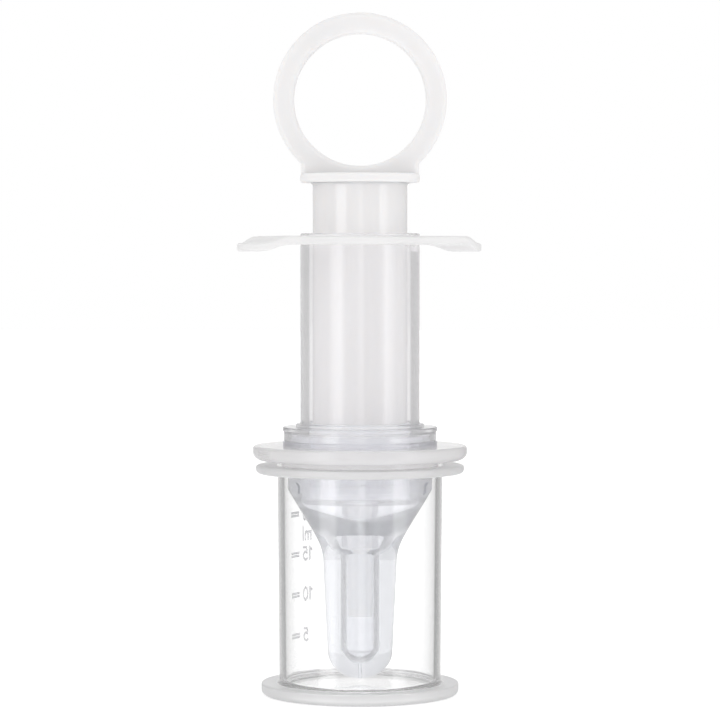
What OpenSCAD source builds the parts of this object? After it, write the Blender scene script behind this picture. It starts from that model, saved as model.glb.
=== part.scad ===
// Oral medicine feeder: a ring-pull syringe that feeds a soft nipple, standing in its measuring cup.
// The origin is the centre of the cup's underside, +Z is up, and the hole of the finger ring runs
// along Y. The cup, shield, nipple and barrel stack upwards in that order, and each one lifts off.

/* [Syringe barrel] */
// Radius of the barrel's bore
bore_r = 9.75; // [7:0.05:12]
// Thickness of the barrel's wall
barrel_wall = 1.6; // [1:0.1:2.4]
// Length of the barrel from its end plate to the top of its finger wings
barrel_len = 50.3; // [40:0.1:65]
// Thickness of the end plate
end_plate_t = 1.3; // [0.8:0.1:2]
// Radius of the barrel's lower edge
barrel_edge_r = 1.2; // [0.4:0.1:1.4]
// Depth that the barrel reaches below its collar, into the nipple
plug_depth = 11.45; // [8:0.05:14]
// Width of the collar outside the barrel
collar_w = 3.35; // [2.8:0.05:5]
// Height of the collar below its lip
collar_h = 1.85; // [1.5:0.05:3]
// Thickness of the lip round the top of the collar
lip_t = 0.8; // [0.5:0.05:1.5]
// How far that lip stands out from the collar
lip_out = 0.2; // [0.1:0.05:0.6]
// Width of the low step round the barrel, on top of the collar
step_w = 0.85; // [0.4:0.05:1.5]
// Depth of the groove in the collar's underside that takes the nipple's bead
groove_depth = 1.6; // [1:0.05:1.8]
// Width of the wall between the groove and the barrel's side
groove_inset = 0.65; // [0.4:0.05:1]
// Width of the groove
groove_w = 1.3; // [1:0.05:1.6]
// Length of the nozzle boss below the end plate
boss_len = 8.4; // [5:0.1:11]
// Thickness of the nozzle boss's wall
boss_wall = 1.08; // [0.7:0.02:1.5]

/* [Finger wings] */
// Reach of each wing beyond the barrel's side
wing_reach = 12.65; // [9:0.05:18]
// Width of the wings on each side beyond the barrel
wing_side = 0.35; // [0.2:0.05:2]
// Thickness of the wings
wing_t = 1.6; // [1:0.1:2.5]
// How far the wing tips step down
wing_droop = 1.35; // [0.5:0.05:2]
// Distance beyond the barrel's side where the step down begins
wing_step_at = 6.15; // [4:0.05:7]
// Length of the step down
wing_step_len = 4.5; // [2.5:0.1:5]
// Height of the rim round the barrel's mouth
mouth_rim_h = 0.5; // [0.2:0.1:1]
// Angle of the wings from the X axis
wing_turn = 20.5; // [0:0.5:90]

/* [Spout tube] */
// Outer radius of the tube that leads into the nipple
spout_r = 2.4; // [2:0.05:3]
// Radius of the tube's channel
spout_bore_r = 1; // [0.6:0.05:1.2]
// Depth of the tube's socket into the end plate
socket_depth = 0.3; // [0.1:0.05:0.6]
// Distance from the tube's end to the bottom of the nipple's bore
spout_end_gap = 8.35; // [2:0.05:12]

/* [Plunger] */
// Length of the piston seal
seal_len = 12.9; // [10:0.1:16]
// Gap between the seal and the end plate with the plunger pushed home
seal_end_gap = 0.4; // [0.1:0.1:2]
// Height of each sealing rib
rib_h = 1.8; // [1:0.1:2.4]
// How far the sealing ribs stand out from the seal's body
rib_out = 0.45; // [0.2:0.05:0.8]
// Thickness of the seal's end wall below its socket
seal_end_t = 3.4; // [2:0.1:4]
// Thickness of the seal's ledge that holds the knob in
seal_ledge_t = 3; // [2:0.1:4]
// Radius of the plunger's knob inside the seal
knob_r = 5.95; // [4.5:0.05:6.2]
// Radius of the knob's neck
neck_r = 3.95; // [2.5:0.05:4]
// Thickness of the plunger tube's wall
plunger_wall = 1.4; // [1:0.1:2]
// Thickness of the plunger tube's closed end
plunger_end_t = 1.7; // [1:0.1:3]
// Height of the handle's disc above the barrel's mouth with the plunger pushed home
plunger_out = 9.6; // [4:0.1:20]
// Radius of the fillet at the top of the plunger tube
plunger_flare = 0.4; // [0.2:0.1:0.8]

/* [Ring handle] */
// Radius of the finger hole
finger_r = 12.5; // [9:0.1:16]
// Width of the ring between the hole and its outside
ring_w = 3.95; // [3:0.05:5]
// Depth of the ring from front to back
ring_depth = 5; // [4:0.1:7]
// Radius of the ring's edges
ring_edge_r = 1; // [0.5:0.1:1.4]
// Distance from the disc's top to the finger hole
ring_seat = 1.5; // [0.8:0.1:3]
// Thickness of the disc under the ring
disc_t = 1.7; // [1.2:0.1:3]
// Width of the disc beyond the plunger tube
disc_out = 2.4; // [1:0.1:4]
// How far the feet of the ring stop short of the disc's edge
foot_inset = 0.2; // [0.1:0.1:2]
// Length of the spigot that plugs the plunger tube
spigot_len = 4; // [2:0.1:8]
// Thickness of the spigot's wall
spigot_wall = 1.4; // [1:0.1:2]

/* [Nipple] */
// Thickness of the nipple's neck
nipple_wall = 2.25; // [1.6:0.05:2.8]
// Thickness of the nipple's rim
rim_t = 0.9; // [0.6:0.05:1.5]
// Width of the rim outside the neck
rim_w = 1; // [0.7:0.05:1.6]
// Height of the bead on the rim
bead_h = 1.25; // [0.6:0.05:1.4]
// Radius of the stem where the flare meets it
stem_r = 7; // [5.8:0.05:8.6]
// Radius of the stem where the rounded tip begins
stem_tip_r = 6.2; // [5:0.05:7.5]
// Height of the rounded tip
tip_h = 5.5; // [4:0.1:7]
// Thickness of the tip below the bore
tip_t = 3.8; // [2:0.1:4.5]
// Radius of the feeding hole in the tip
feed_hole_r = 0.25; // [0.2:0.05:0.8]
// Depth below the shield's top at which the flare meets the stem
flare_end = 22.45; // [21.5:0.05:24]
// Height of the flare between the stem and the neck
flare_h = 14.2; // [13:0.1:15]
// Angle of the flare's cone from the nipple's axis
cone_angle = 29; // [24:1:32]

/* [Shield] */
// Thickness of the shield's disc
shield_t = 2.75; // [2:0.05:4]
// Width of the shield beyond its land
shield_out = 5.45; // [4:0.05:9]
// Radius of the shield's lower edge
shield_edge_r = 1.6; // [0.8:0.1:1.9]
// Height of the land that stands on the cup's rim
land_h = 1; // [0.6:0.05:2]
// Width of the land beyond the cup's mouth
land_w = 0.5; // [0.4:0.05:2]
// Depth that the shield reaches into the cup's mouth
shield_plug_h = 1.4; // [0.8:0.1:3]
// Thickness of the part that reaches into the cup
shield_plug_wall = 0.5; // [0.4:0.05:1.2]
// Angle of the grip ridges from the X axis
grip_turn = 28; // [0:0.5:90]
// Number of grip ridges on each side
grip_ridges = 3; // [1:1:3]
// Angle that each grip ridge spans
grip_span = 13.5; // [8:0.5:30]

/* [Measuring cup] */
// Height of the cup
cup_h = 43.7; // [36:0.1:56]
// Thickness of the cup's wall
cup_wall = 1.25; // [0.8:0.05:2]
// How much the inside narrows from the mouth to the floor
cup_taper = 0.35; // [0.1:0.05:1]
// Height of the inside floor
floor_z = 2.2; // [1.8:0.1:4]
// Thickness of the floor above the recess in the underside
floor_t = 1.2; // [0.8:0.1:1.6]
// Radius of the fillet round the inside floor
floor_fillet = 1; // [0.4:0.1:2]
// Width of the base flange
base_w = 3.45; // [2:0.05:6]
// Thickness of the base flange
base_t = 2.3; // [1.5:0.1:3]
// Radius of the base flange's lower edge
base_edge_r = 1; // [0.4:0.1:1.2]
// Width of the flange round the mouth
mouth_w = 4.1; // [2:0.05:6]
// Thickness of the flange round the mouth
mouth_t = 1.55; // [1.2:0.05:2.5]
// Radius of the mouth flange's lower edge
mouth_edge_r = 0.8; // [0.3:0.1:1]
// Volume between the marks of the scale, in millilitres
mark_ml = 5; // [5:5:10]
// Angle that each mark spans
mark_span = 14; // [8:1:30]
// Angle of the middle of the marks from the X axis
mark_at = 152; // [0:0.5:360]
// Thickness of each mark
mark_t = 0.9; // [0.3:0.1:1.4]
// How far each mark stands out from the wall
mark_out = 0.2; // [0.1:0.05:0.4]

/* [Clearances] */
// Gap between a piston seal's ribs and the bore
seal_clear = 0.03; // [0.02:0.01:0.1]
// Gap between the plunger tube and the bore
plunger_clear = 0.75; // [0.4:0.05:1.2]
// Gap round the plunger's knob, where it turns in the seal
knob_clear = 0.05; // [0.02:0.01:0.1]
// Gap round a piece that is pressed in: the spout tube and the handle's spigot
press_clear = 0.02; // [0.01:0.01:0.05]
// Gap between the barrel and the nipple, and round the nipple's bead
neck_clear = 0.1; // [0.05:0.05:0.2]
// Gap between the nipple and the shield's bore
shield_clear = 0.1; // [0.05:0.05:0.4]
// Gap between the shield and the cup's mouth
cup_clear = 0.15; // [0.1:0.05:0.4]
// Gap round the spout tube in the nipple's bore
spout_clear = 0.22; // [0.15:0.01:0.5]
// Gap round the nozzle boss in the nipple
boss_clear = 0.3; // [0.2:0.05:0.6]
// Gap between the nipple's tip and the cup's floor
tip_gap = 0.7; // [0.3:0.1:4]

/* [Hidden] */
$fn = 96;

// Radius of the small roundings on edges that are otherwise sharp
soft_edge = 0.3;

// Radii, outwards from the bore: each piece is sized by the one that it goes round
barrel_r = bore_r + barrel_wall;
nipple_neck_in = barrel_r + neck_clear;
nipple_neck_r = nipple_neck_in + nipple_wall;
shield_bore = nipple_neck_r + shield_clear;
shield_plug_r = shield_bore + shield_plug_wall;
cup_mouth_in = shield_plug_r + cup_clear;
cup_floor_in = cup_mouth_in - cup_taper;
land_r = cup_mouth_in + land_w;
shield_r = land_r + shield_out;

// Heights, upwards from the underside of the cup
shield_bottom = cup_h + land_h;
shield_top = shield_bottom + shield_t;
rim_top = shield_top + rim_t;
collar_top = rim_top + collar_h + lip_t;
barrel_bottom = rim_top - plug_depth;
bore_bottom = barrel_bottom + end_plate_t;
wing_top = barrel_bottom + barrel_len;
mouth_top = wing_top + mouth_rim_h;
boss_end = barrel_bottom - boss_len;
disc_bottom = mouth_top + plunger_out;
disc_top = disc_bottom + disc_t;
ring_z = disc_top + ring_seat + finger_r;

// Nozzle
socket_r = spout_r + press_clear;
boss_r = socket_r + boss_wall;
socket_top = barrel_bottom + socket_depth;

// Nipple
tip_z = floor_z + tip_gap;
nipple_bore_r = spout_r + spout_clear;
nipple_bore_z = tip_z + tip_t;
spout_end = nipple_bore_z + spout_end_gap;
boss_room_r = boss_r + boss_clear;
bead_in = barrel_r + groove_inset + neck_clear;
bead_out = barrel_r + groove_inset + groove_w - neck_clear;

// Plunger
seal_r = bore_r - seal_clear;
seal_bottom = bore_bottom + seal_end_gap;
seal_top = seal_bottom + seal_len;
plunger_r = bore_r - plunger_clear;
plunger_in = plunger_r - plunger_wall;
plunger_bottom = seal_top + knob_clear;
disc_r = plunger_r + disc_out;

// Points on an arc about [x, z], from angle a to angle b
function arc(x, z, r, a, b, steps = 6) =
    [for (i = [0:steps]) let (t = a + (b - a) * i / steps) [x + r * cos(t), z + r * sin(t)]];

// Points on a quarter of an ellipse about [0, z], from its lowest point near the axis out to [r, z]
function nose(z, r, h, inner, steps = 12) =
    [for (i = [0:steps]) let (t = acos(inner / r) * (1 - i / steps)) [r * cos(t), z - h * sin(t)]];

// Points on a cubic curve from p to s that leaves towards q and arrives from r
function curve(p, q, r, s, steps = 14) =
    [for (i = [0:steps]) let (t = i / steps, u = 1 - t)
        u * u * u * p + 3 * u * u * t * q + 3 * u * t * t * r + t * t * t * s];

// The points in the opposite order
function reverse(points) = [for (i = [len(points) - 1:-1:0]) points[i]];

// A solid of revolution that spans an angle, starting from the X axis
module lathe(points, angle = 360) {
    rotate_extrude(angle = angle, $fn = 180) polygon(points);
}

// ---- Measuring cup ----

cup_floor_out = cup_floor_in + cup_wall;
cup_mouth_out = cup_mouth_in + cup_wall;
cup_slope = cup_taper / (cup_h - floor_z);
base_r = cup_floor_out + base_w;
mouth_r = cup_mouth_out + mouth_w;
mouth_bottom = cup_h - mouth_t;

// Height on the cup at which it holds a volume in cubic millimetres
function level(volume) =
    floor_z + (pow(pow(cup_floor_in, 3) + 3 * cup_slope * volume / PI, 1 / 3) - cup_floor_in) / cup_slope;

cup_volume = PI * (mouth_bottom - floor_z) * pow((cup_floor_in + cup_mouth_in) / 2, 2);
mark_count = floor(cup_volume * 0.9 / (1000 * mark_ml));

// One raised mark of the scale, on the outside of the wall
module mark(z) {
    wall_r = cup_floor_out + cup_slope * (z - floor_z);
    rotate([0, 0, mark_at - mark_span / 2]) lathe([
        [wall_r - cup_wall / 2, z - mark_t / 2], [wall_r + mark_out, z - mark_t / 2],
        [wall_r + mark_out, z + mark_t / 2], [wall_r - cup_wall / 2, z + mark_t / 2]
    ], mark_span);
}

module measuring_cup() color([0.86, 0.9, 0.93, 0.45]) {
    recess_r = cup_floor_in - floor_fillet / 2;
    lathe(concat(
        [[0, floor_z - floor_t], [recess_r, floor_z - floor_t], [recess_r, 0]],
        arc(base_r - base_edge_r, base_edge_r, base_edge_r, -90, 0),
        arc(base_r - soft_edge, base_t - soft_edge, soft_edge, 0, 90, 3),
        arc(cup_floor_out + soft_edge, base_t + soft_edge, soft_edge, 270, 180, 3),
        arc(cup_mouth_out + soft_edge, mouth_bottom - soft_edge, soft_edge, 180, 90, 3),
        arc(mouth_r - mouth_edge_r, mouth_bottom + mouth_edge_r, mouth_edge_r, -90, 0),
        arc(mouth_r - soft_edge, cup_h - soft_edge, soft_edge, 0, 90, 3),
        arc(cup_mouth_in + soft_edge / 2, cup_h - soft_edge / 2, soft_edge / 2, 90, 180, 3),
        arc(cup_floor_in - floor_fillet, floor_z + floor_fillet, floor_fillet, 0, -90),
        [[0, floor_z]]
    ));
    for (i = [1:mark_count]) mark(level(1000 * mark_ml * i));
}

// ---- Shield ----

ridge_t = 0.3;
ridge_out = 0.25;
ridge_pitch = 0.6;

// Radius of the shield's edge at a height, down the straight side and round the lower edge
function shield_edge(z) =
    let (below = shield_bottom + shield_edge_r - z)
    below <= 0 ? shield_r
        : shield_r - shield_edge_r + sqrt(pow(shield_edge_r, 2) - pow(below, 2));

module grip_ridge(z) {
    r = shield_edge(z);
    lathe([
        [r - 1, z - ridge_t / 2], [r + ridge_out, z - ridge_t / 2],
        [r + ridge_out, z + ridge_t / 2], [r - 1, z + ridge_t / 2]
    ], grip_span);
}

module shield() color([0.88, 0.89, 0.9]) {
    lathe(concat(
        [[shield_bore, cup_h - shield_plug_h], [shield_plug_r, cup_h - shield_plug_h],
            [shield_plug_r, cup_h], [land_r, cup_h], [land_r, shield_bottom]],
        arc(shield_r - shield_edge_r, shield_bottom + shield_edge_r, shield_edge_r, -90, 0),
        arc(shield_r - 2 * soft_edge, shield_top - 2 * soft_edge, 2 * soft_edge, 0, 90),
        [[shield_bore, shield_top]]
    ));
    for (side = [0, 180], i = [1:grip_ridges])
        rotate([0, 0, grip_turn + side - grip_span / 2])
            grip_ridge(shield_top - 2 * soft_edge - i * ridge_pitch + ridge_t);
}

// ---- Nipple ----

module nipple() color([0.9, 0.93, 0.95, 0.6]) {
    rim_r = nipple_neck_r + rim_w;
    flare_z = shield_top - flare_end;
    // How far the flare keeps the stem's direction, and then the cone's
    stem_pull = 4.2;
    cone_pull = 8.8;
    // The room inside runs straight down past the barrel's edge, and then narrows in a funnel to
    // the nozzle boss
    room_z = barrel_bottom + barrel_edge_r + neck_clear;
    funnel = [boss_room_r + 1.1, boss_end + 2.8];
    edge_room = [0.15, 2.4];
    funnel_room = [2.45, 3.6];
    bore_lead = 1.3;
    lathe(concat(
        nose(tip_z + tip_h, stem_tip_r, tip_h, feed_hole_r),
        curve([stem_r, flare_z], [stem_r, flare_z + stem_pull],
            [nipple_neck_r - cone_pull * sin(cone_angle), flare_z + flare_h - cone_pull * cos(cone_angle)],
            [nipple_neck_r, flare_z + flare_h]),
        [[nipple_neck_r, shield_top], [rim_r, shield_top], [rim_r, rim_top], [bead_out, rim_top],
            [bead_out, rim_top + bead_h], [bead_in, rim_top + bead_h], [bead_in, rim_top],
            [nipple_neck_in, rim_top]],
        curve([nipple_neck_in, room_z], [nipple_neck_in, room_z] - edge_room,
            [nipple_neck_in, room_z] - funnel_room, funnel),
        [[boss_room_r, boss_end], [nipple_bore_r, boss_end - bore_lead]],
        reverse(nose(nipple_bore_z + nipple_bore_r, nipple_bore_r, nipple_bore_r, feed_hole_r, 8))
    ));
}

// ---- Barrel ----

// Side view of the wings: flat over the barrel, stepping down to the tips on a smooth curve
function wing_drop(u) =
    let (t = (u - barrel_r - wing_step_at) / wing_step_len)
    t <= 0 ? 0 : t >= 1 ? wing_droop : wing_droop * (1 - cos(180 * t)) / 2;

wing_half = barrel_r + wing_reach;
wing_side_r = barrel_r + wing_side;
wing_steps = 8;

module wings() {
    step_from = barrel_r + wing_step_at;
    stations = concat([0], [for (i = [0:wing_steps]) step_from + wing_step_len * i / wing_steps],
        [wing_half + 1]);
    top = [for (u = stations) [u, wing_top - wing_drop(u)]];
    side = concat(top, [for (p = reverse(top)) p - [0, wing_t]]);
    rotate([0, 0, wing_turn]) intersection() {
        translate([0, 0, wing_top - wing_t - 2 * wing_droop])
            linear_extrude(wing_t + 3 * wing_droop) {
                for (end = [-1, 1]) translate([end * (wing_half - wing_side_r), 0]) circle(wing_side_r);
                square([2 * (wing_half - wing_side_r), 2 * wing_side_r], center = true);
            }
        for (end = [0, 1]) mirror([end, 0, 0])
            rotate([90, 0, 0]) translate([0, 0, -wing_half]) linear_extrude(2 * wing_half) polygon(side);
    }
}

module barrel() color([0.85, 0.89, 0.93, 0.5]) {
    collar_r = barrel_r + collar_w - lip_out;
    groove_in = barrel_r + groove_inset;
    step_r = barrel_r + step_w;
    difference() {
        wings();
        translate([0, 0, wing_top - 5 * wing_t]) cylinder(h = 10 * wing_t, r = (bore_r + barrel_r) / 2);
    }
    lathe(concat(
        [[socket_r, boss_end], [boss_r - soft_edge, boss_end], [boss_r, boss_end + soft_edge]],
        arc(boss_r + soft_edge, barrel_bottom - soft_edge, soft_edge, 180, 90, 3),
        arc(barrel_r - barrel_edge_r, barrel_bottom + barrel_edge_r, barrel_edge_r, -90, 0),
        [[barrel_r, rim_top], [groove_in, rim_top], [groove_in, rim_top + groove_depth],
            [groove_in + groove_w, rim_top + groove_depth], [groove_in + groove_w, rim_top],
            [collar_r, rim_top], [collar_r, collar_top - lip_t],
            [collar_r + lip_out, collar_top - lip_t + lip_out / 2],
            [collar_r + lip_out, collar_top - lip_out],
            [collar_r, collar_top], [step_r, collar_top], [step_r, collar_top + soft_edge]],
        arc(barrel_r + soft_edge, collar_top + 3 * soft_edge, soft_edge, 270, 180, 3),
        arc(barrel_r + soft_edge, wing_top - wing_t - soft_edge, soft_edge, 180, 90, 3),
        [[barrel_r + soft_edge, wing_top - wing_t / 2], [barrel_r, wing_top - wing_t / 2]],
        arc(barrel_r - soft_edge, mouth_top - soft_edge, soft_edge, 0, 90, 3),
        arc(bore_r + soft_edge, mouth_top - soft_edge, soft_edge, 90, 180, 3),
        [[bore_r, bore_bottom], [spout_bore_r, bore_bottom], [spout_bore_r, socket_top],
            [socket_r, socket_top]]
    ));
}

module spout_tube() color([0.92, 0.93, 0.94]) {
    lathe(concat(
        [[spout_bore_r, spout_end]],
        arc(spout_r - soft_edge, spout_end + soft_edge, soft_edge, -90, 0, 3),
        [[spout_r, socket_top], [spout_bore_r, socket_top]]
    ));
}

// ---- Plunger ----

module piston_seal() color([0.8, 0.84, 0.88, 0.8]) {
    body_r = seal_r - rib_out;
    socket_bottom = seal_bottom + seal_end_t;
    ledge_bottom = seal_top - seal_ledge_t;
    rib_gap = (seal_len - 3 * rib_h) / 2;
    ribs = [for (i = [0:2]) each let (z = seal_bottom + i * (rib_h + rib_gap)) [
        [body_r, z], [seal_r, z + rib_out], [seal_r, z + rib_h - rib_out], [body_r, z + rib_h]]];
    lathe(concat(
        [[0, seal_bottom]], ribs,
        [[neck_r + knob_clear, seal_top], [neck_r + knob_clear, ledge_bottom],
            [knob_r + knob_clear, ledge_bottom], [knob_r + knob_clear, socket_bottom],
            [0, socket_bottom]]
    ));
}

module plunger_tube() color([0.93, 0.94, 0.95]) {
    knob_bottom = seal_bottom + seal_end_t + knob_clear;
    knob_top = seal_top - seal_ledge_t - knob_clear;
    knob_lead = 1.5;
    lathe(concat(
        [[0, knob_bottom], [knob_r - knob_lead, knob_bottom], [knob_r, knob_bottom + knob_lead],
            [knob_r, knob_top], [neck_r, knob_top], [neck_r, plunger_bottom],
            [plunger_r - soft_edge, plunger_bottom], [plunger_r, plunger_bottom + soft_edge]],
        arc(plunger_r + plunger_flare, disc_bottom - plunger_flare, plunger_flare, 180, 90, 3),
        [[plunger_in, disc_bottom], [plunger_in, plunger_bottom + plunger_end_t],
            [0, plunger_bottom + plunger_end_t]]
    ));
}

module ring_handle() color([0.93, 0.94, 0.95]) {
    ring_r = finger_r + ring_w;
    half = ring_depth / 2;
    flat_half = half - ring_edge_r;
    foot_half = disc_r - foot_inset;
    spigot_r = plunger_in - press_clear;
    disc_edge_r = disc_t / 3;
    // The disc, and the hollow spigot under it
    lathe(concat(
        [[0, disc_bottom], [spigot_r - spigot_wall, disc_bottom],
            [spigot_r - spigot_wall, disc_bottom - spigot_len],
            [spigot_r - soft_edge, disc_bottom - spigot_len],
            [spigot_r, disc_bottom - spigot_len + soft_edge], [spigot_r, disc_bottom]],
        arc(disc_r - disc_edge_r, disc_bottom + disc_edge_r, disc_edge_r, -90, 0, 3),
        arc(disc_r - disc_edge_r, disc_top - disc_edge_r, disc_edge_r, 0, 90, 3),
        [[0, disc_top]]
    ));
    difference() {
        union() {
            translate([0, 0, ring_z]) rotate([90, 0, 0]) lathe(concat(
                arc(finger_r + ring_edge_r, -flat_half, ring_edge_r, 180, 270, 4),
                arc(ring_r - ring_edge_r, -flat_half, ring_edge_r, -90, 0, 4),
                arc(ring_r - ring_edge_r, flat_half, ring_edge_r, 0, 90, 4),
                arc(finger_r + ring_edge_r, flat_half, ring_edge_r, 90, 180, 4)
            ));
            // The feet, which carry the ring out to the edge of the disc
            difference() {
                translate([-foot_half, -flat_half, disc_bottom + disc_t / 2])
                    cube([2 * foot_half, 2 * flat_half, ring_z - disc_bottom - disc_t / 2]);
                translate([0, 0, ring_z]) rotate([90, 0, 0])
                    cylinder(h = 2 * ring_depth, r = finger_r + ring_w / 2, center = true);
            }
        }
        // The ring stops at the disc
        translate([-ring_r, -ring_depth, disc_bottom + disc_t / 2 - 2 * ring_r])
            cube([2 * ring_r, 2 * ring_depth, 2 * ring_r]);
    }
}

measuring_cup();
shield();
nipple();
barrel();
spout_tube();
piston_seal();
plunger_tube();
ring_handle();
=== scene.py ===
"""Oral medicine feeder: the looks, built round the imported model.

Every piece is turned or moulded from the heights and radii of the CAD node that it stands for.
Outlines are written in millimetres, as (radius, height, rounding) corners, and the meshes that
come from them are in metres, in the CAD's frame.
"""

import math

import bmesh
import bpy
import numpy as np
from mathutils import Matrix, Vector


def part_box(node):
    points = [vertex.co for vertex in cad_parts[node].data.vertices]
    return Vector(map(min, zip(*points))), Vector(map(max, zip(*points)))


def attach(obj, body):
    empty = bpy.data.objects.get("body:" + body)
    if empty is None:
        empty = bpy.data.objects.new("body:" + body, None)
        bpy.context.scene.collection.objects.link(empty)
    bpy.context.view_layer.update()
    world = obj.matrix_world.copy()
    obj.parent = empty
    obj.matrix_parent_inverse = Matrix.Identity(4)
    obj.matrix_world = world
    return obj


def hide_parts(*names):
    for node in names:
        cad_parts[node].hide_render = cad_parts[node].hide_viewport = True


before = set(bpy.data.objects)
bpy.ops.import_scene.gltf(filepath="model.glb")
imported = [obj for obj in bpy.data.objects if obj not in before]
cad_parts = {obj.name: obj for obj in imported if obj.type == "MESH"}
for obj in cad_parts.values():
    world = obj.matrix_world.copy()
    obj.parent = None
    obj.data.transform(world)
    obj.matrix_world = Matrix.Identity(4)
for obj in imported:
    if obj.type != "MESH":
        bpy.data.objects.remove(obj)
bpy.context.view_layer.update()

MM = 0.001

# Camera, in metres
EYE_DISTANCE = 0.595
EYE_HEIGHT = 0.083
AIM_HEIGHT = 0.06365
LENS_MM = 156.5


def edges(node):
    """The radius, foot and top of a CAD node, in millimetres."""
    low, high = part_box(node)
    return high[0] / MM, low[2] / MM, high[2] / MM


# ---- Camera ----


def make_camera():
    data = bpy.data.cameras.new("camera")
    data.lens = LENS_MM
    data.sensor_width = 36
    camera = bpy.data.objects.new("camera", data)
    camera.location = (0, -EYE_DISTANCE, EYE_HEIGHT)
    aim = Vector((0, 0, AIM_HEIGHT)) - camera.location
    camera.rotation_euler = aim.to_track_quat("-Z", "Y").to_euler()
    bpy.context.scene.collection.objects.link(camera)
    bpy.context.scene.camera = camera


# ---- Outlines ----


def rounded(corners, step_deg=11):
    """The outline through the corners (radius, height, rounding), each rounded with an arc."""
    outline = []
    count = len(corners)
    for i, (r, z, rounding) in enumerate(corners):
        here = Vector((r, z))
        if rounding <= 0:
            outline.append((r, z))
            continue
        back = (Vector(corners[i - 1][:2]) - here).normalized()
        ahead = (Vector(corners[(i + 1) % count][:2]) - here).normalized()
        half = back.angle(ahead) / 2
        centre = here + (back + ahead).normalized() * (rounding / math.sin(half))
        start = here + back * (rounding / math.tan(half)) - centre
        turn = math.pi - 2 * half
        side = 1 if back.x * ahead.y - back.y * ahead.x < 0 else -1
        steps = max(2, math.ceil(math.degrees(turn) / step_deg))
        for k in range(steps + 1):
            a = side * turn * k / steps
            c, s = math.cos(a), math.sin(a)
            outline.append((centre.x + start.x * c - start.y * s, centre.y + start.x * s + start.y * c))
    return outline


def curve(p, q, r, s, steps=20):
    """Points on a cubic curve from p to s that leaves towards q and arrives from r."""
    found = []
    for i in range(steps + 1):
        t = i / steps
        u = 1 - t
        w = (u * u * u, 3 * u * u * t, 3 * u * t * t, t * t * t)
        found.append(tuple(sum(k * v[n] for k, v in zip(w, (p, q, r, s))) for n in (0, 1)))
    return found


def nose(foot, radius, height, inner, steps=16):
    """Points up a rounded tip: a quarter of an ellipse, from inner near the axis out to radius."""
    first = math.acos(inner / radius)
    angles = [first * (1 - i / steps) for i in range(steps + 1)]
    return [(radius * math.cos(a), foot + height * (1 - math.sin(a))) for a in angles]


def eased(t):
    """t, from 0 to 1, with a slow start and a slow end."""
    return t * t * (3 - 2 * t)


def stepped(outline, pitch):
    """The outline with its long runs cut into steps of at most pitch millimetres."""
    fine = []
    for i, (r, z) in enumerate(outline):
        r2, z2 = outline[(i + 1) % len(outline)]
        cuts = max(1, math.ceil(math.hypot(r2 - r, z2 - z) / pitch))
        if r < 1e-6 and r2 < 1e-6:
            cuts = 1
        fine += [(r + (r2 - r) * k / cuts, z + (z2 - z) * k / cuts) for k in range(cuts)]
    return fine


# ---- Meshes ----


def turned(name, outline, columns=192, relief=None, pitch=1.5):
    """A closed solid of revolution. columns is a count or a list of angles in degrees, and relief
    gives how far points stand out, in millimetres, from arrays of their radius, angle and height."""
    angles = np.arange(columns) * 360 / columns if isinstance(columns, int) else np.array(columns)
    turns = np.radians(angles)
    outline = stepped(outline, pitch)
    points, rows = [], []
    for r, z in outline:
        if r < 1e-6:
            rows.append([len(points)])
            points.append((0, 0, z))
            continue
        radii = np.full(len(turns), r)
        if relief:
            radii = radii + relief(radii, angles, np.full(len(turns), z))
        rows.append(list(range(len(points), len(points) + len(turns))))
        points += list(zip(radii * np.cos(turns), radii * np.sin(turns), [z] * len(turns)))
    faces = []
    for i, low in enumerate(rows):
        high = rows[(i + 1) % len(rows)]
        if len(low) == 1 and len(high) == 1:
            continue
        for k in range(len(turns)):
            n = (k + 1) % len(turns)
            if len(low) == 1:
                faces.append((low[0], high[n], high[k]))
            elif len(high) == 1:
                faces.append((low[k], low[n], high[0]))
            else:
                faces.append((low[k], low[n], high[n], high[k]))
    return solid(name, points, faces)


def solid(name, points, faces):
    """A piece from points in millimetres, with its faces turned outwards."""
    mesh = bpy.data.meshes.new(name)
    mesh.from_pydata([tuple(c * MM for c in p) for p in points], [], faces)
    work = bmesh.new()
    work.from_mesh(mesh)
    bmesh.ops.recalc_face_normals(work, faces=work.faces)
    work.to_mesh(mesh)
    work.free()
    piece = bpy.data.objects.new(name, mesh)
    bpy.context.scene.collection.objects.link(piece)
    return piece


def plate(name, outline, hole, half, rounding, steps=5):
    """A flat piece in the XZ plane, from an outer outline and a hole with as many points, its four
    edges rounded. Both outlines come as points with the normals that lead away from the material."""
    quarter = [90 * k / steps for k in range(steps + 1)]
    turns = [(-1, degrees - 90) for degrees in quarter] + [(1, degrees) for degrees in quarter]
    rows = []
    for edge, way in ((outline, 1), (hole, -1)):
        for side, degrees in turns:
            a = math.radians(degrees)
            inset = rounding * (1 - math.cos(a))
            y = way * ((half - rounding) * side + rounding * math.sin(a))
            rows.append([(x - nx * inset, y, z - nz * inset) for x, z, nx, nz in edge])
    return solid(name, [point for row in rows for point in row], bands(len(rows), len(outline)))


def bands(rows, columns):
    """The faces between closed rows of points, the last row joined to the first."""
    faces = []
    for i in range(rows):
        j = (i + 1) % rows
        for k in range(columns):
            n = (k + 1) % columns
            faces.append((i * columns + k, i * columns + n, j * columns + n, j * columns + k))
    return faces


def joined(piece, *others):
    """The union of a piece with others, as one closed mesh."""
    for other in others:
        union = piece.modifiers.new("union", "BOOLEAN")
        union.operation, union.solver, union.object = "UNION", "EXACT", other
        applied(piece)
        bpy.data.objects.remove(other)
    return piece


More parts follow.
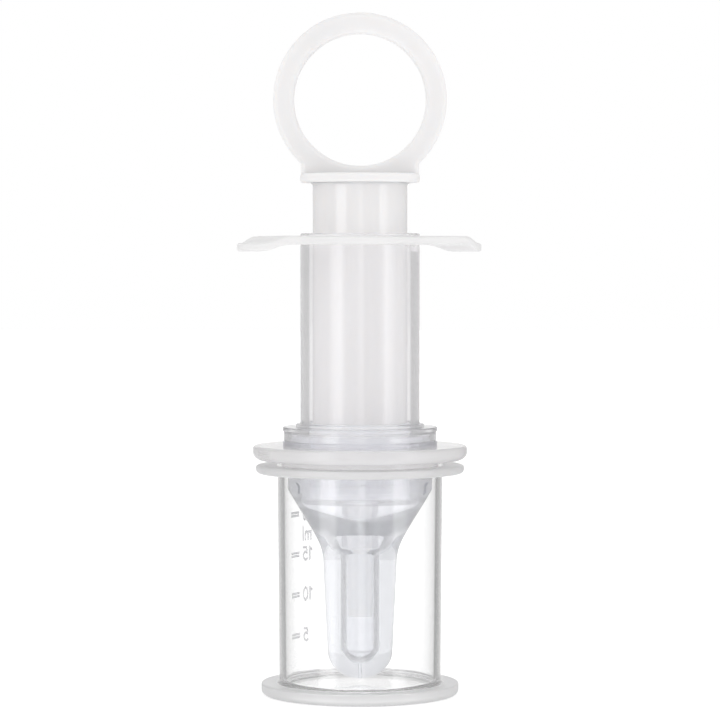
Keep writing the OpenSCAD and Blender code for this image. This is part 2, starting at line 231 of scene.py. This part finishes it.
def applied(piece):
    """Replaces the piece's mesh with what its modifiers make of it."""
    graph = bpy.context.evaluated_depsgraph_get()
    made = bpy.data.meshes.new_from_object(piece.evaluated_get(graph))
    piece.modifiers.clear()
    old, piece.data = piece.data, made
    bpy.data.meshes.remove(old)
    made.name = piece.name


def finished(piece, node, body, material, sharp_deg=32):
    """Smooths a piece's shading, gives it its material, and puts it in the place of its node."""
    mesh = piece.data
    mesh.materials.clear()
    mesh.materials.append(material)
    mesh.shade_smooth()
    mesh.set_sharp_from_angle(angle=math.radians(sharp_deg))
    weigh = piece.modifiers.new("weigh", "WEIGHTED_NORMAL")
    weigh.keep_sharp = True
    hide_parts(node)
    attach(piece, body)
    return piece


def faced(piece, material, chosen):
    """Gives a material to the faces whose radius and height, in millimetres, are chosen."""
    piece.data.materials.append(material)
    for face in piece.data.polygons:
        x, y, z = (c / MM for c in face.center)
        if chosen(math.hypot(x, y), z):
            face.material_index = len(piece.data.materials) - 1
    return piece


# ---- Materials ----

# Share of the light that passes each surface of a clear piece
LIGHT_THROUGH = 0.985
# Colour that is left when a clear piece has taken up the most light
ABSORBED_TINT = (0.3, 0.34, 0.42, 1)
# Most noise lies between these values
NOISE_LOW, NOISE_HIGH = 0.3, 0.7


def new_material(name):
    material = bpy.data.materials.new(name)
    material.use_nodes = True
    nodes = material.node_tree.nodes
    return material, nodes, material.node_tree.links, nodes["Principled BSDF"]


def noise(nodes, links, scale, detail=2.0, stretch=(1, 1, 1)):
    """Noise over the object's own space, in metres."""
    place = nodes.new("ShaderNodeTexCoord")
    sized = nodes.new("ShaderNodeMapping")
    sized.inputs["Scale"].default_value = stretch
    links.new(place.outputs["Object"], sized.inputs["Vector"])
    texture = nodes.new("ShaderNodeTexNoise")
    texture.inputs["Scale"].default_value = scale
    texture.inputs["Detail"].default_value = detail
    links.new(sized.outputs["Vector"], texture.inputs["Vector"])
    return texture.outputs["Fac"]


def spread(nodes, links, source, low, high):
    """Noise, spread between low and high."""
    return mapped(nodes, links, source, (NOISE_LOW, NOISE_HIGH), (low, high))


def mapped(nodes, links, source, seen, wanted):
    """The source, with the range that is seen in it mapped to the range that is wanted."""
    ranged = nodes.new("ShaderNodeMapRange")
    ranged.inputs["From Min"].default_value, ranged.inputs["From Max"].default_value = seen
    ranged.inputs["To Min"].default_value, ranged.inputs["To Max"].default_value = wanted
    links.new(source, ranged.inputs["Value"])
    return ranged.outputs["Result"]


def maths(nodes, links, operation, *values):
    """What a maths node makes of its values, each an output of a node or a number."""
    node = nodes.new("ShaderNodeMath")
    node.operation = operation
    for socket, value in zip(node.inputs, values):
        if isinstance(value, (int, float)):
            socket.default_value = value
        else:
            links.new(value, socket)
    return node.outputs["Value"]


def bump(nodes, links, shader, layers):
    """Stacks bumps on the shader's normal, each a source and a height in metres."""
    last = None
    for source, height in layers:
        node = nodes.new("ShaderNodeBump")
        node.inputs["Distance"].default_value = height
        links.new(source, node.inputs["Height"])
        if last:
            links.new(last.outputs["Normal"], node.inputs["Normal"])
        last = node
    links.new(last.outputs["Normal"], shader.inputs["Normal"])


def blend(nodes, links, share, usual, other, output):
    """Sends two shaders to the output: the usual one where share is 0, and the other where it is 1."""
    mix = nodes.new("ShaderNodeMixShader")
    links.new(share, mix.inputs["Fac"])
    links.new(usual, mix.inputs[1])
    links.new(other, mix.inputs[2])
    links.new(mix.outputs["Shader"], output.inputs["Surface"])


def clear_material(name, tint, ior, rough, waviness, haze=0.0, absorbed=0.0):
    """A clear moulded plastic or silicone. haze is the share of it that is milky, and absorbed is
    how much light it takes up in a metre. Light for what is inside passes straight through it."""
    material, nodes, links, shader = new_material(name)
    shader.inputs["Base Color"].default_value = (*tint, 1)
    shader.inputs["Transmission Weight"].default_value = 1 - haze
    shader.inputs["IOR"].default_value = ior
    smears = noise(nodes, links, 90, 3, (1, 1, 0.4))
    links.new(spread(nodes, links, smears, *rough), shader.inputs["Roughness"])
    flow = noise(nodes, links, 160, 1, (1, 1, 0.35))
    grain = noise(nodes, links, 1600, 2)
    bump(nodes, links, shader, [(flow, waviness), (grain, waviness * 0.02)])
    path = nodes.new("ShaderNodeLightPath")
    lighting = maths(nodes, links, "MAXIMUM", path.outputs["Is Shadow Ray"],
        path.outputs["Is Diffuse Ray"])
    through = nodes.new("ShaderNodeBsdfTransparent")
    through.inputs["Color"].default_value = (*(LIGHT_THROUGH * t for t in tint), 1)
    blend(nodes, links, lighting, shader.outputs["BSDF"], through.outputs["BSDF"],
        nodes["Material Output"])
    if absorbed:
        body = nodes.new("ShaderNodeVolumeAbsorption")
        body.inputs["Color"].default_value = ABSORBED_TINT
        body.inputs["Density"].default_value = absorbed
        links.new(body.outputs["Volume"], nodes["Material Output"].inputs["Volume"])
    return material


def milky_material(name, pale, deep, scatter_mm, rough):
    """A milky polypropylene with faint flow clouds and a fine moulded grain."""
    material, nodes, links, shader = new_material(name)
    clouds = noise(nodes, links, 120, 3, (1, 1, 0.5))
    mix = nodes.new("ShaderNodeMix")
    mix.data_type = "RGBA"
    mix.inputs["A"].default_value = (*pale, 1)
    mix.inputs["B"].default_value = (*deep, 1)
    links.new(spread(nodes, links, clouds, 0, 1), mix.inputs["Factor"])
    links.new(mix.outputs["Result"], shader.inputs["Base Color"])
    shader.inputs["Subsurface Weight"].default_value = 1
    shader.inputs["Subsurface Radius"].default_value = (1, 0.95, 0.9)
    shader.inputs["Subsurface Scale"].default_value = scatter_mm * MM
    shader.inputs["IOR"].default_value = 1.45
    links.new(spread(nodes, links, noise(nodes, links, 500, 2), *rough), shader.inputs["Roughness"])
    flow = noise(nodes, links, 200, 1)
    grain = noise(nodes, links, 3500, 2)
    bump(nodes, links, shader, [(flow, 2e-5), (grain, 2e-6)])
    return material


# ---- Scale on the cup ----

# In millimetres
GLYPH_HEIGHT = 2.4
STROKE = 0.26
RELIEF = 0.2
EDGE = 0.1
STEP_UP_WALL = 0.1
MARK_LENGTH = 3.4
MARK_THICKNESS = 0.6
# In degrees round the wall
FIGURES_AT = 135.0
MARKS_AT = 152.0
# How far past the middle of the figures their last one ends
FIGURES_END = 1.8
# Strokes of each figure in a box one unit high: corners of a line that is drawn through them
FIGURES = {
    "0": [[(0.3 + 0.27 * math.cos(a), 0.5 + 0.5 * math.sin(a))
        for a in np.linspace(0, 2 * math.pi, 17)]],
    "1": [[(0.12, 0.76), (0.36, 1), (0.36, 0)]],
    "2": [[(0.05, 0.74), (0.1, 0.9), (0.24, 1), (0.4, 0.98), (0.53, 0.86), (0.54, 0.7), (0.46, 0.54),
        (0.04, 0), (0.58, 0)]],
    "5": [[(0.54, 1), (0.12, 1), (0.08, 0.54), (0.24, 0.62), (0.4, 0.6), (0.54, 0.46), (0.57, 0.3),
        (0.5, 0.12), (0.34, 0), (0.18, 0), (0.04, 0.1)]],
    "m": [[(0.06, 0), (0.06, 0.66)], [(0.06, 0.5), (0.2, 0.66), (0.36, 0.6), (0.4, 0.44), (0.4, 0)],
        [(0.4, 0.48), (0.54, 0.66), (0.7, 0.6), (0.74, 0.44), (0.74, 0)]],
    "l": [[(0.1, 0), (0.1, 1.05)]],
}
ADVANCE = {"0": 0.78, "1": 0.62, "2": 0.78, "5": 0.78, "m": 0.96, "l": 0.3}
VOLUMES = [5, 10, 15, 20]
ML = 1000

# The cup's wall, which its scale is on
CUP_WALL = 1.25
CUP_MOUTH_W = 4.1
CUP_TAPER = 0.35
CUP_FLOOR = 2.2
CUP_SLOPE = CUP_TAPER / (edges("measuring_cup")[2] - CUP_FLOOR)
CUP_OUTSIDE = edges("measuring_cup")[0] - CUP_MOUTH_W


def cup_outside(height):
    """The outside radius of the cup's wall at a height."""
    return CUP_OUTSIDE - CUP_TAPER + CUP_SLOPE * (height - CUP_FLOOR)


def cup_level(volume):
    """The height to which a volume in millilitres fills the cup, which widens upwards as a cone."""
    foot_r = CUP_OUTSIDE - CUP_WALL - CUP_TAPER
    filled_r = (foot_r ** 3 + 3 * ML * CUP_SLOPE * volume / math.pi) ** (1 / 3)
    return CUP_FLOOR + (filled_r - foot_r) / CUP_SLOPE


CUP_LEVELS = [(volume, cup_level(volume)) for volume in VOLUMES]

# The barrel's boss, which the nipple leaves room for
BOSS_LEN = 8.4


def from_line(points, x, y):
    """The distance of each place (x, y) from a line drawn through the points."""
    nearest = np.full(x.shape, np.inf)
    for (x0, y0), (x1, y1) in zip(points, points[1:]):
        dx, dy = x1 - x0, y1 - y0
        t = np.clip(((x - x0) * dx + (y - y0) * dy) / max(dx * dx + dy * dy, 1e-12), 0, 1)
        nearest = np.minimum(nearest, np.hypot(x - x0 - t * dx, y - y0 - t * dy))
    return nearest


def scale_strokes(wall_r, levels):
    """Every stroke of the cup's scale, in millimetres round the wall and up it, as it is read from
    outside the cup: round the wall leads to the reader's right."""
    strokes = []

    def write(text, height):
        width = sum(ADVANCE[c] for c in text) * GLYPH_HEIGHT
        across = math.radians(FIGURES_AT) * wall_r + FIGURES_END - width
        for c in text:
            for line in FIGURES[c]:
                strokes.append([(across + x * GLYPH_HEIGHT, height + (y - 0.5) * GLYPH_HEIGHT)
                    for x, y in line])
            across += ADVANCE[c] * GLYPH_HEIGHT

    for number, height in levels:
        write(str(number), height)
        middle = math.radians(MARKS_AT) * wall_r
        for side in (-1, 1):
            strokes.append([(middle - MARK_LENGTH / 2, height + side * MARK_THICKNESS / 2),
                (middle + MARK_LENGTH / 2, height + side * MARK_THICKNESS / 2)])
    write("ml", (levels[-1][1] + levels[-2][1]) / 2)
    return strokes


# ---- Pieces ----


def make_cup():
    mouth_r, foot, top = edges("measuring_cup")
    mouth_t, base_w, base_t, recess, recess_edge = 1.55, 3.45, 2.3, 1.0, 0.5
    inside = CUP_OUTSIDE - CUP_WALL
    floor_in, floor_out = inside - CUP_TAPER, CUP_OUTSIDE - CUP_TAPER
    base_r = floor_out + base_w
    strokes = scale_strokes(CUP_OUTSIDE, CUP_LEVELS)
    scaled = np.arange(CUP_LEVELS[0][1] - GLYPH_HEIGHT, CUP_LEVELS[-1][1] + GLYPH_HEIGHT, STEP_UP_WALL)

    def scale(radius, angle, height):
        x = np.radians(angle) * CUP_OUTSIDE
        off_wall = abs(radius[0] - CUP_OUTSIDE + CUP_TAPER / 2) > CUP_TAPER
        if off_wall or height[0] < scaled[0] or height[0] > scaled[-1]:
            return np.zeros(x.shape)
        nearest = np.full(x.shape, np.inf)
        for line in strokes:
            nearest = np.minimum(nearest, from_line(line, x, height))
        return RELIEF * eased(np.clip((STROKE / 2 + EDGE / 2 - nearest) / EDGE, 0, 1))

    outline = rounded([
        (0, foot + recess, 0), (floor_in - recess_edge, foot + recess, 0.25),
        (floor_in - recess_edge, foot, 0.3), (base_r, foot, 1.0), (base_r, foot + base_t, 0.35),
        (floor_out + 0.02, foot + base_t, 0.45), *[(cup_outside(z), z, 0) for z in scaled],
        (CUP_OUTSIDE, top - mouth_t, 0.4), (mouth_r, top - mouth_t, 0.8), (mouth_r, top, 0.35),
        (inside, top, 0.2), (floor_in, CUP_FLOOR, 1.0), (0, CUP_FLOOR, 0),
    ])
    # Columns stand close together where the scale is
    fine_from, fine_to, fine_pitch, coarse_count = 126, 162, 0.32, 174
    fine = np.arange(fine_from, fine_to, fine_pitch)
    coarse = np.linspace(fine_to, fine_from + 360, coarse_count, endpoint=False)
    return turned("cup_shell", outline, list(np.concatenate([fine, coarse])), scale)


def make_shield():
    outer, foot, top = edges("shield")
    plug_h, land_h, land_r, plug_r, bore_r = 1.4, 1.0, 14.95, 14.3, 13.8
    seat = foot + plug_h
    bottom = seat + land_h
    ridge_out, ridge_half, ridge_pitch, ridge_last, first = 0.25, 0.21, 0.6, 2, 0.9
    span, fade, turn = 13.5, 1.2, 28.0
    rim_w, top_clear, bottom_clear = 1.0, 0.3, 0.1

    def ridges(radius, angle, height):
        in_reach = bottom + bottom_clear <= height[0] <= top - top_clear
        if radius[0] < outer - rim_w or not in_reach:
            return np.zeros(angle.shape)
        off = np.abs((angle - turn + 90) % 180 - 90)
        ends = np.clip((span / 2 - off) / fade, 0, 1)
        up = (top - first - height) / ridge_pitch
        near = np.abs(up - np.round(np.clip(up, 0, ridge_last))) * ridge_pitch
        return ridge_out * eased(np.clip(1 - near / ridge_half, 0, 1)) * eased(ends)

    outline = rounded([
        (bore_r, foot, 0.15), (plug_r, foot, 0.2), (plug_r, seat, 0.1), (land_r, seat, 0.12),
        (land_r, bottom, 0.25), (outer, bottom, 1.6), (outer, top, 0.6), (bore_r, top, 0.25),
    ], 8)
    return turned("shield_disc", outline, 360, ridges, 0.3)


def make_nipple():
    rim_r, tip, top = edges("nipple")
    # The hole cuts the CAD's tip off a little above where its round form would end
    tip -= 0.012
    bead_h, rim_t, rim_w, wall = 1.25, 0.9, 1.0, 2.25
    rim_top = top - bead_h
    shield_top = rim_top - rim_t
    neck_r = rim_r - rim_w
    neck_in = neck_r - wall
    bead_in, bead_out = neck_in + 0.65, neck_in + 1.75
    stem_r, stem_tip_r, tip_h, hole_r = 7.0, 6.2, 5.5, 0.25
    flare_z = shield_top - 22.45
    flare_top = flare_z + 14.2
    cone, stem_pull, cone_pull = math.radians(29), 4.2, 8.8
    # Room for the barrel's end and its boss, and then the bore for the spout
    boss_end, end_clear = edges("barrel")[1], 1.3
    room_z = boss_end + BOSS_LEN + end_clear
    room_r, bore_r, bore_z, bore_lead = 3.8, 2.62, tip + 3.8, 1.2
    bumps, bump_r, bump_out, bump_edge, bump_z, bump_turn = 6, 1.25, 0.35, 0.1, 39.6, -87.4
    skin = 0.4

    def dots(radius, angle, height):
        if radius[0] < neck_r - skin:
            return np.zeros(angle.shape)
        off = (angle - bump_turn + 180 / bumps) % (360 / bumps) - 180 / bumps
        away = np.hypot(np.radians(off) * neck_r, height - bump_z)
        return bump_out * eased(np.clip((bump_r - away) / bump_edge, 0, 1))

    rim = rounded([
        (neck_r, shield_top - 2, 0), (neck_r, shield_top, 0.12), (rim_r, shield_top, 0.2),
        (rim_r, rim_top, 0.25), (bead_out, rim_top, 0.1), (bead_out, top, 0.3), (bead_in, top, 0.3),
        (bead_in, rim_top, 0.1), (neck_in, rim_top, 0.15), (neck_in, rim_top - 2, 0),
    ])
    outline = (
        nose(tip, stem_tip_r, tip_h, hole_r)
        + curve((stem_r, flare_z), (stem_r, flare_z + stem_pull),
            (neck_r - cone_pull * math.sin(cone), flare_top - cone_pull * math.cos(cone)),
            (neck_r, flare_top), 28)
        + [(neck_r, z) for z in np.arange(flare_top + 0.1, bump_z + bump_r + 0.2, 0.09)]
        + rim
        + curve((neck_in, room_z), (neck_in - 0.15, room_z - 2.4), (neck_in - 2.45, room_z - 3.6),
            (room_r + 1.1, boss_end + 2.8), 24)
        + [(room_r, boss_end), (bore_r + 0.1, boss_end - bore_lead),
            (bore_r, boss_end - bore_lead - 0.25)]
        + list(reversed(nose(bore_z, bore_r, bore_r, hole_r, 12)))
    )
    # Columns stand close together across each dot
    reach, fine_pitch, coarse_count = 6.5, 0.35, 30
    near = np.arange(-reach, reach, fine_pitch)
    far = np.linspace(reach, 360 / bumps - reach, coarse_count, endpoint=False)
    columns = [bump_turn + 360 / bumps * k + a for k in range(bumps) for a in (*near, *far)]
    return turned("nipple_skin", outline, columns, dots, 0.3)


def make_barrel():
    low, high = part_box("barrel")
    boss_end, mouth_top = low[2] / MM, high[2] / MM
    bore_r, barrel_r, boss_r, socket_r, channel_r = 9.75, 11.35, 3.5, 2.42, 1.0
    bottom, plate_t, socket_depth = boss_end + BOSS_LEN, 1.3, 0.3
    rim_top = bottom + 11.45
    collar_r, lip_out, collar_h, lip_t = 14.5, 0.2, 1.85, 0.8
    step_w, step_h = 0.85, 0.6
    groove_in, groove_out, groove_depth = 12.0, 13.3, 1.6
    top = rim_top + collar_h + lip_t
    wing_top, wing_t = mouth_top - 0.5, 1.6
    outline = rounded([
        (socket_r, boss_end, 0.1), (boss_r, boss_end, 0.35), (boss_r, bottom, 0.5),
        (barrel_r, bottom, 1.2), (barrel_r, rim_top, 0.1), (groove_in, rim_top, 0.12),
        (groove_in, rim_top + groove_depth, 0.2), (groove_out, rim_top + groove_depth, 0.2),
        (groove_out, rim_top, 0.12), (collar_r, rim_top, 0.25), (collar_r, top - lip_t, 0.1),
        (collar_r + lip_out, top - lip_t, 0.08), (collar_r + lip_out, top, 0.25),
        (barrel_r + step_w, top, 0.15), (barrel_r + step_w, top + step_h, 0.25),
        (barrel_r, top + step_h, 0.3),
        (barrel_r, mouth_top, 0.25), (bore_r, mouth_top, 0.3), (bore_r, bottom + plate_t, 0.4),
        (channel_r, bottom + plate_t, 0.15), (channel_r, bottom + socket_depth, 0),
        (socket_r, bottom + socket_depth, 0),
    ])
    tube = turned("barrel_shell", outline, 192, pitch=1.2)
    return joined(tube, make_wings(barrel_r, bore_r, wing_top, wing_t))


def make_wings(barrel_r, bore_r, top, thickness):
    """The finger wings: a plate with round ends that steps down to its tips, its edges rounded."""
    reach, side, droop, step_at, step_len = 12.65, 0.35, 1.35, 6.15, 4.5
    turn, rounding = 20.5, 0.5
    half, end_r = barrel_r + reach, barrel_r + side
    straight = half - end_r
    inner_r = (barrel_r + bore_r) / 2
    count, rings, edge_steps = 144, 14, 4

    def drop(u):
        t = np.clip((abs(u) - barrel_r - step_at) / step_len, 0, 1)
        return droop * (1 - math.cos(math.pi * t)) / 2

    # The outer edge as points with outward directions, and the hole's edge at the same angles
    edge, hole = [], []
    for i in range(count):
        a = 2 * math.pi * (i + 0.5) / count
        c, s = math.cos(a), math.sin(a)
        hole.append((inner_r * c, inner_r * s))
        reach_side = end_r / max(abs(s), 1e-9)
        if abs(c) * reach_side <= straight:
            edge.append((c * reach_side, math.copysign(end_r, s), 0, math.copysign(1, s)))
            continue
        # Where the ray at this angle meets the round end
        far = straight * abs(c) + math.sqrt(end_r ** 2 - (straight * s) ** 2)
        x, y = far * c, far * s
        edge.append((x, y, (x - math.copysign(straight, c)) / end_r, y / end_r))

    # Rows go out over the top, round the upper edge, and back the same way underneath
    rows = []
    for k in range(rings + 1):
        t = k / rings
        rows.append([(hx * (1 - t) + (x - nx * rounding) * t, hy * (1 - t) + (y - ny * rounding) * t, 0)
            for (hx, hy), (x, y, nx, ny) in zip(hole, edge)])
    for k in range(1, edge_steps + 1):
        a = math.radians(90 * k / edge_steps)
        inset = rounding * (1 - math.sin(a))
        rows.append([(x - nx * inset, y - ny * inset, -rounding * (1 - math.cos(a)))
            for x, y, nx, ny in edge])
    rows += [[(x, y, -thickness - z) for x, y, z in row] for row in reversed(rows)]
    spin = Matrix.Rotation(math.radians(turn), 3, "Z")
    points = [tuple(spin @ Vector((x, y, top + z - drop(x)))) for row in rows for x, y, z in row]
    return solid("wings", points, bands(len(rows), count))


def make_spout():
    outer, foot, top = edges("spout_tube")
    bore = 1.0
    outline = rounded([(bore, foot, 0.1), (outer, foot, 0.35), (outer, top, 0.15), (bore, top, 0.1)])
    return turned("spout", outline, 96, pitch=1.0)


def make_seal():
    outer, foot, top = edges("piston_seal")
    rib_h, rib_out, count = 1.8, 0.45, 3
    end_t, ledge_t, neck_r, knob_r = 3.4, 3.0, 4.0, 6.0
    gap = (top - foot - count * rib_h) / (count - 1)
    body_r = outer - rib_out
    ribs = []
    for i in range(count):
        z = foot + i * (rib_h + gap)
        ribs += [(body_r, z, 0.12), (outer, z + rib_out, 0.3), (outer, z + rib_h - rib_out, 0.3),
            (body_r, z + rib_h, 0.12)]
    outline = rounded([(0, foot, 0), *ribs, (neck_r, top, 0.3), (neck_r, top - ledge_t, 0.3),
        (knob_r, top - ledge_t, 0.3), (knob_r, foot + end_t, 0.3), (0, foot + end_t, 0)])
    return turned("seal", outline, 160, pitch=0.8)


def make_plunger():
    flare_r, foot, top = edges("plunger_tube")
    seal_top = edges("piston_seal")[2]
    flare, wall, end_t = 0.4, 1.4, 1.7
    outer = flare_r - flare
    neck_r, knob_r, knob_edge, ledge_t, clear = 3.95, 5.95, 1.5, 3.0, 0.05
    bottom = seal_top + clear
    outline = rounded([
        (0, foot, 0), (knob_r - knob_edge, foot, 0.3), (knob_r, foot + knob_edge, 0.3),
        (knob_r, seal_top - ledge_t - clear, 0.3), (neck_r, seal_top - ledge_t - clear, 0.2),
        (neck_r, bottom, 0.2), (outer, bottom, 0.35), (outer, top - flare, 0.3), (flare_r, top, 0),
        (outer - wall, top, 0.1), (outer - wall, bottom + end_t, 0.5), (0, bottom + end_t, 0),
    ])
    return turned("plunger_rod", outline, 160, pitch=1.2)


def make_handle():
    ring_r, foot, top = edges("ring_handle")
    ring_w, depth, rounding = 3.95, 5.0, 1.0
    hole_r = ring_r - ring_w
    middle = top - ring_r
    spigot_len, spigot_r, spigot_wall = 4.0, 7.58, 1.4
    disc_t, disc_r, foot_inset = 1.7, 11.4, 0.2
    disc_bottom = foot + spigot_len
    disc_top = disc_bottom + disc_t
    disc = turned("handle_shell", rounded([
        (0, disc_bottom, 0), (spigot_r - spigot_wall, disc_bottom, 0.2),
        (spigot_r - spigot_wall, foot, 0.3), (spigot_r, foot, 0.35), (spigot_r, disc_bottom, 0.1),
        (disc_r, disc_bottom, 0.55), (disc_r, disc_top, 0.55), (0, disc_top, 0),
    ]), 176, pitch=1.0)
    # The ring's outer edge runs down into two upright feet, whose base is sunk in the disc
    foot_half, base = disc_r - foot_inset, disc_bottom + disc_t / 2 - middle
    steps = 240
    outer, hole = [], []
    for i in range(steps):
        a = 2 * math.pi * (i + 0.5) / steps - math.pi / 2
        c, s = math.cos(a), math.sin(a)
        x, z, nx, nz = ring_r * c, ring_r * s, c, s
        if s < 0 and (abs(x) < foot_half or z < base):
            # Here the edge is the foot's side or its base, whichever this angle meets first
            far_side, far_base = foot_half / max(abs(c), 1e-9), base / s
            if far_side < far_base:
                x, z, nx, nz = math.copysign(foot_half, c), s * far_side, math.copysign(1, c), 0
            else:
                x, z, nx, nz = c * far_base, base, c * far_base / foot_half, 0
        outer.append((x, z + middle, nx, nz))
        hole.append((hole_r * c, middle + hole_r * s, -c, -s))
    ring = plate("ring", outer, hole, depth / 2, rounding)
    return joined(disc, ring)


# ---- Stage ----


def make_stage():
    """A pale floor in an even white surround. What the pieces mirror is a studio of soft boxes, with
    grey between them that draws the edges of the clear pieces."""
    side, gap = 3.0, 0.00005
    mesh = bpy.data.meshes.new("floor")
    corners = [(-side, -side, 0), (side, -side, 0), (side, side, 0), (-side, side, 0)]
    mesh.from_pydata(corners, [], [(0, 1, 2, 3)])
    floor = bpy.data.objects.new("floor", mesh)
    floor.location.z = -gap
    bpy.context.scene.collection.objects.link(floor)
    material, nodes, links, shader = new_material("pale_floor")
    shader.inputs["Base Color"].default_value = (0.9, 0.9, 0.9, 1)
    shader.inputs["Roughness"].default_value = 0.6
    shader.inputs["Emission Color"].default_value = (1, 1, 1, 1)
    shader.inputs["Emission Strength"].default_value = 0.35
    through = nodes.new("ShaderNodeBsdfTransparent")
    blend(nodes, links, mirrored(nodes, links), shader.outputs["BSDF"], through.outputs["BSDF"],
        nodes["Material Output"])
    mesh.materials.append(material)
    make_studio()


def mirrored(nodes, links):
    """1 for what a surface mirrors, from inside a clear piece or outside it, else 0."""
    path = nodes.new("ShaderNodeLightPath")
    sharp = maths(nodes, links, "SUBTRACT", path.outputs["Glossy Depth"], path.outputs["Is Diffuse Ray"])
    return maths(nodes, links, "GREATER_THAN", sharp, 0.5)


# Brightness of the studio round the object, by degrees to the right of the camera
STUDIO = [(-180, 0.95), (-168, 0.75), (-153, 0.48), (-130, 0.4), (-108, 0.45), (-85, 0.5), (-63, 0.6),
    (-57, 1.9), (-38, 2.1), (-33, 1.0), (-28, 0.55), (-5, 0.6), (-1, 1.0), (6, 1.0), (9, 0.35),
    (46, 0.35), (51, 1.7), (66, 1.6), (74, 0.6), (108, 0.4), (130, 0.36), (153, 0.44), (168, 0.7),
    (180, 0.95)]
STUDIO_TOP = 2.1
# Share of that brightness in what is straight below, where the object shades its own floor, and the
# heights of the directions between which it comes in
STUDIO_BELOW = 0.7
BELOW, LEVEL = -0.75, -0.2


def make_studio():
    world = bpy.data.worlds.new("studio")
    bpy.context.scene.world = world
    world.use_nodes = True
    nodes, links = world.node_tree.nodes, world.node_tree.links
    even = nodes["Background"]
    even.inputs["Color"].default_value = (1, 1, 1, 1)
    even.inputs["Strength"].default_value = 1.0
    place = nodes.new("ShaderNodeTexCoord")
    split = nodes.new("ShaderNodeSeparateXYZ")
    links.new(place.outputs["Generated"], split.inputs["Vector"])
    front = maths(nodes, links, "MULTIPLY", split.outputs["Y"], -1)
    azimuth = maths(nodes, links, "ARCTAN2", split.outputs["X"], front)
    boxes = nodes.new("ShaderNodeValToRGB")
    stops = boxes.color_ramp.elements
    while len(stops) < len(STUDIO):
        stops.new(0.5)
    for stop, (degrees, level) in zip(stops, STUDIO):
        stop.position = (degrees + 180) / 360
        stop.color = (level / STUDIO_TOP,) * 3 + (1,)
    links.new(mapped(nodes, links, azimuth, (-math.pi, math.pi), (0, 1)), boxes.inputs["Fac"])
    shade = mapped(nodes, links, split.outputs["Z"], (BELOW, LEVEL),
        (STUDIO_TOP * STUDIO_BELOW, STUDIO_TOP))
    studio = nodes.new("ShaderNodeBackground")
    links.new(shade, studio.inputs["Strength"])
    links.new(boxes.outputs["Color"], studio.inputs["Color"])
    blend(nodes, links, mirrored(nodes, links), even.outputs["Background"],
        studio.outputs["Background"], nodes["World Output"])


def set_light_paths():
    scene = bpy.context.scene
    scene.view_settings.view_transform = "Standard"
    cycles = scene.cycles
    cycles.max_bounces = 32
    cycles.transmission_bounces = 32
    cycles.glossy_bounces = 32
    cycles.diffuse_bounces = 16
    cycles.transparent_max_bounces = 32
    cycles.sample_clamp_indirect = 4
    cycles.use_denoising = True


make_camera()
set_light_paths()
# Smooth and frosted surfaces, as ranges of roughness
POLISHED, FROSTED = (0.0, 0.02), (0.34, 0.46)
CLEAR = clear_material("clear_polystyrene", (1.0, 1.0, 1.0), 1.55, POLISHED, 1.0e-5, 0.01)
# The cup's mouth and base: the roughness is their frosted finish, and the grey tint is painted shade for
# the light lost in the thick clear flanges
CUP_RIM_PAINTED_SHADE = clear_material("frosted_polystyrene_painted_shade", (0.79, 0.788, 0.79), 1.55, FROSTED, 2e-5, 0.6)
SCALE = clear_material("frosted_scale", (0.74, 0.74, 0.75), 1.55, (0.3, 0.4), 1e-5, 0.6)
HAZY = clear_material("hazy_polypropylene", (0.96, 0.956, 0.962), 1.49, (0.02, 0.05), 2e-5, 0.17)
COLLAR = clear_material("clear_polypropylene", (0.98, 0.98, 0.985), 1.49, (0.01, 0.03), 1e-5, 0.12)
WINGS = clear_material("frosted_polypropylene", (0.86, 0.856, 0.856), 1.49, (0.36, 0.48), 2e-5, 0.75)
SOFT = clear_material("clear_silicone", (0.965, 0.968, 0.985), 1.41, (0.02, 0.06), 2.5e-5, 0.2, 20)
PALE = clear_material("translucent_polypropylene", (0.885, 0.877, 0.877), 1.49, (0.1, 0.16), 2e-5,
    0.45, 6)
SEAL = milky_material("seal_silicone", (0.86, 0.865, 0.885), (0.83, 0.84, 0.865), 1.0, (0.3, 0.4))
MILKY = milky_material("milky_polypropylene", (0.845, 0.837, 0.838), (0.82, 0.812, 0.814), 0.6,
    (0.3, 0.45))
SLEEK = milky_material("glossy_milky_polypropylene", (0.835, 0.825, 0.827), (0.815, 0.805, 0.807),
    0.6, (0.08, 0.12))
SLEEK.node_tree.nodes["Principled BSDF"].inputs["Specular IOR Level"].default_value = 1.0
TUBE = milky_material("pale_polypropylene", (0.94, 0.93, 0.905), (0.92, 0.905, 0.88), 0.6,
    (0.15, 0.25))

# Where the frosted mouth and base of the cup start, outside its wall, and where its scale may be; the
# grey tint of the mouth and base is painted shade
RIM_AT, SCALE_ENDS, SCALE_FROM = 0.35, 3.0, RELIEF * 0.4
CUP_TOP = edges("measuring_cup")[2]
cup = finished(make_cup(), "measuring_cup", "cup", CLEAR)
faced(cup, CUP_RIM_PAINTED_SHADE, lambda r, z: r > CUP_OUTSIDE + RIM_AT)
faced(cup, SCALE, lambda r, z: SCALE_ENDS < z < CUP_TOP - SCALE_ENDS
    and SCALE_FROM < r - cup_outside(z) < RIM_AT)
finished(make_shield(), "shield", "shield", PALE)
finished(make_nipple(), "nipple", "nipple", SOFT)

# The barrel's wings are above this height, and they and the collar are outside these radii
WINGS_Z, WINGS_FROM, COLLAR_FROM = edges("barrel")[2] - 4.5, 11.5, 11.7
barrel = finished(make_barrel(), "barrel", "barrel", HAZY)
faced(barrel, WINGS, lambda r, z: z > WINGS_Z and r > WINGS_FROM)
faced(barrel, COLLAR, lambda r, z: z < WINGS_Z and r > COLLAR_FROM)
finished(make_spout(), "spout_tube", "barrel", TUBE)
finished(make_seal(), "piston_seal", "piston", SEAL)
finished(make_plunger(), "plunger_tube", "plunger", SLEEK)
finished(make_handle(), "ring_handle", "plunger", MILKY)
make_stage()
